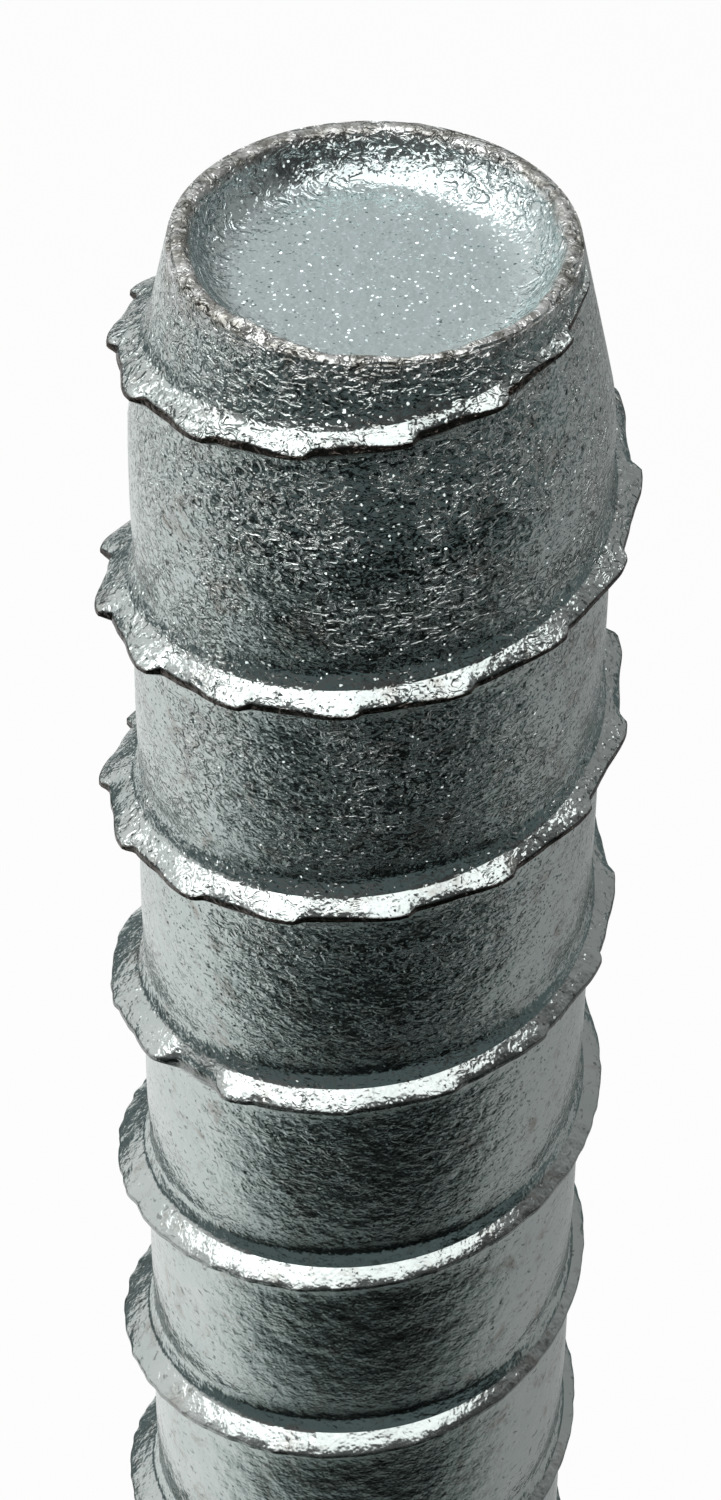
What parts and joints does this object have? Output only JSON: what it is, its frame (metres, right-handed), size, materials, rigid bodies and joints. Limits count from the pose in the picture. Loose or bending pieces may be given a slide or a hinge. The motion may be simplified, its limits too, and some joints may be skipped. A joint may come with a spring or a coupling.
{
  "type": "screw anchor",
  "caption": "Concrete screw anchor in zinc-plated steel: hex washer head, plain shank, coarse right-hand thread with cutting teeth near a tapered, dished tip.",
  "frame": {"origin": "middle of the head's free face, on which the anchor stands", "axes": "+Z along the screw's axis from the head to the tip; X and Y across it, with two hex corners on X"},
  "size_m": [0.0254, 0.0254, 0.0877],
  "materials": {
    "zinc_plated_steel": "bright zinc electroplate over rolled steel, cool blue-grey with a fine glittering grain"
  },
  "bodies": {
    "root": {"screw_anchor": "zinc_plated_steel"}
  },
  "joints": []
}
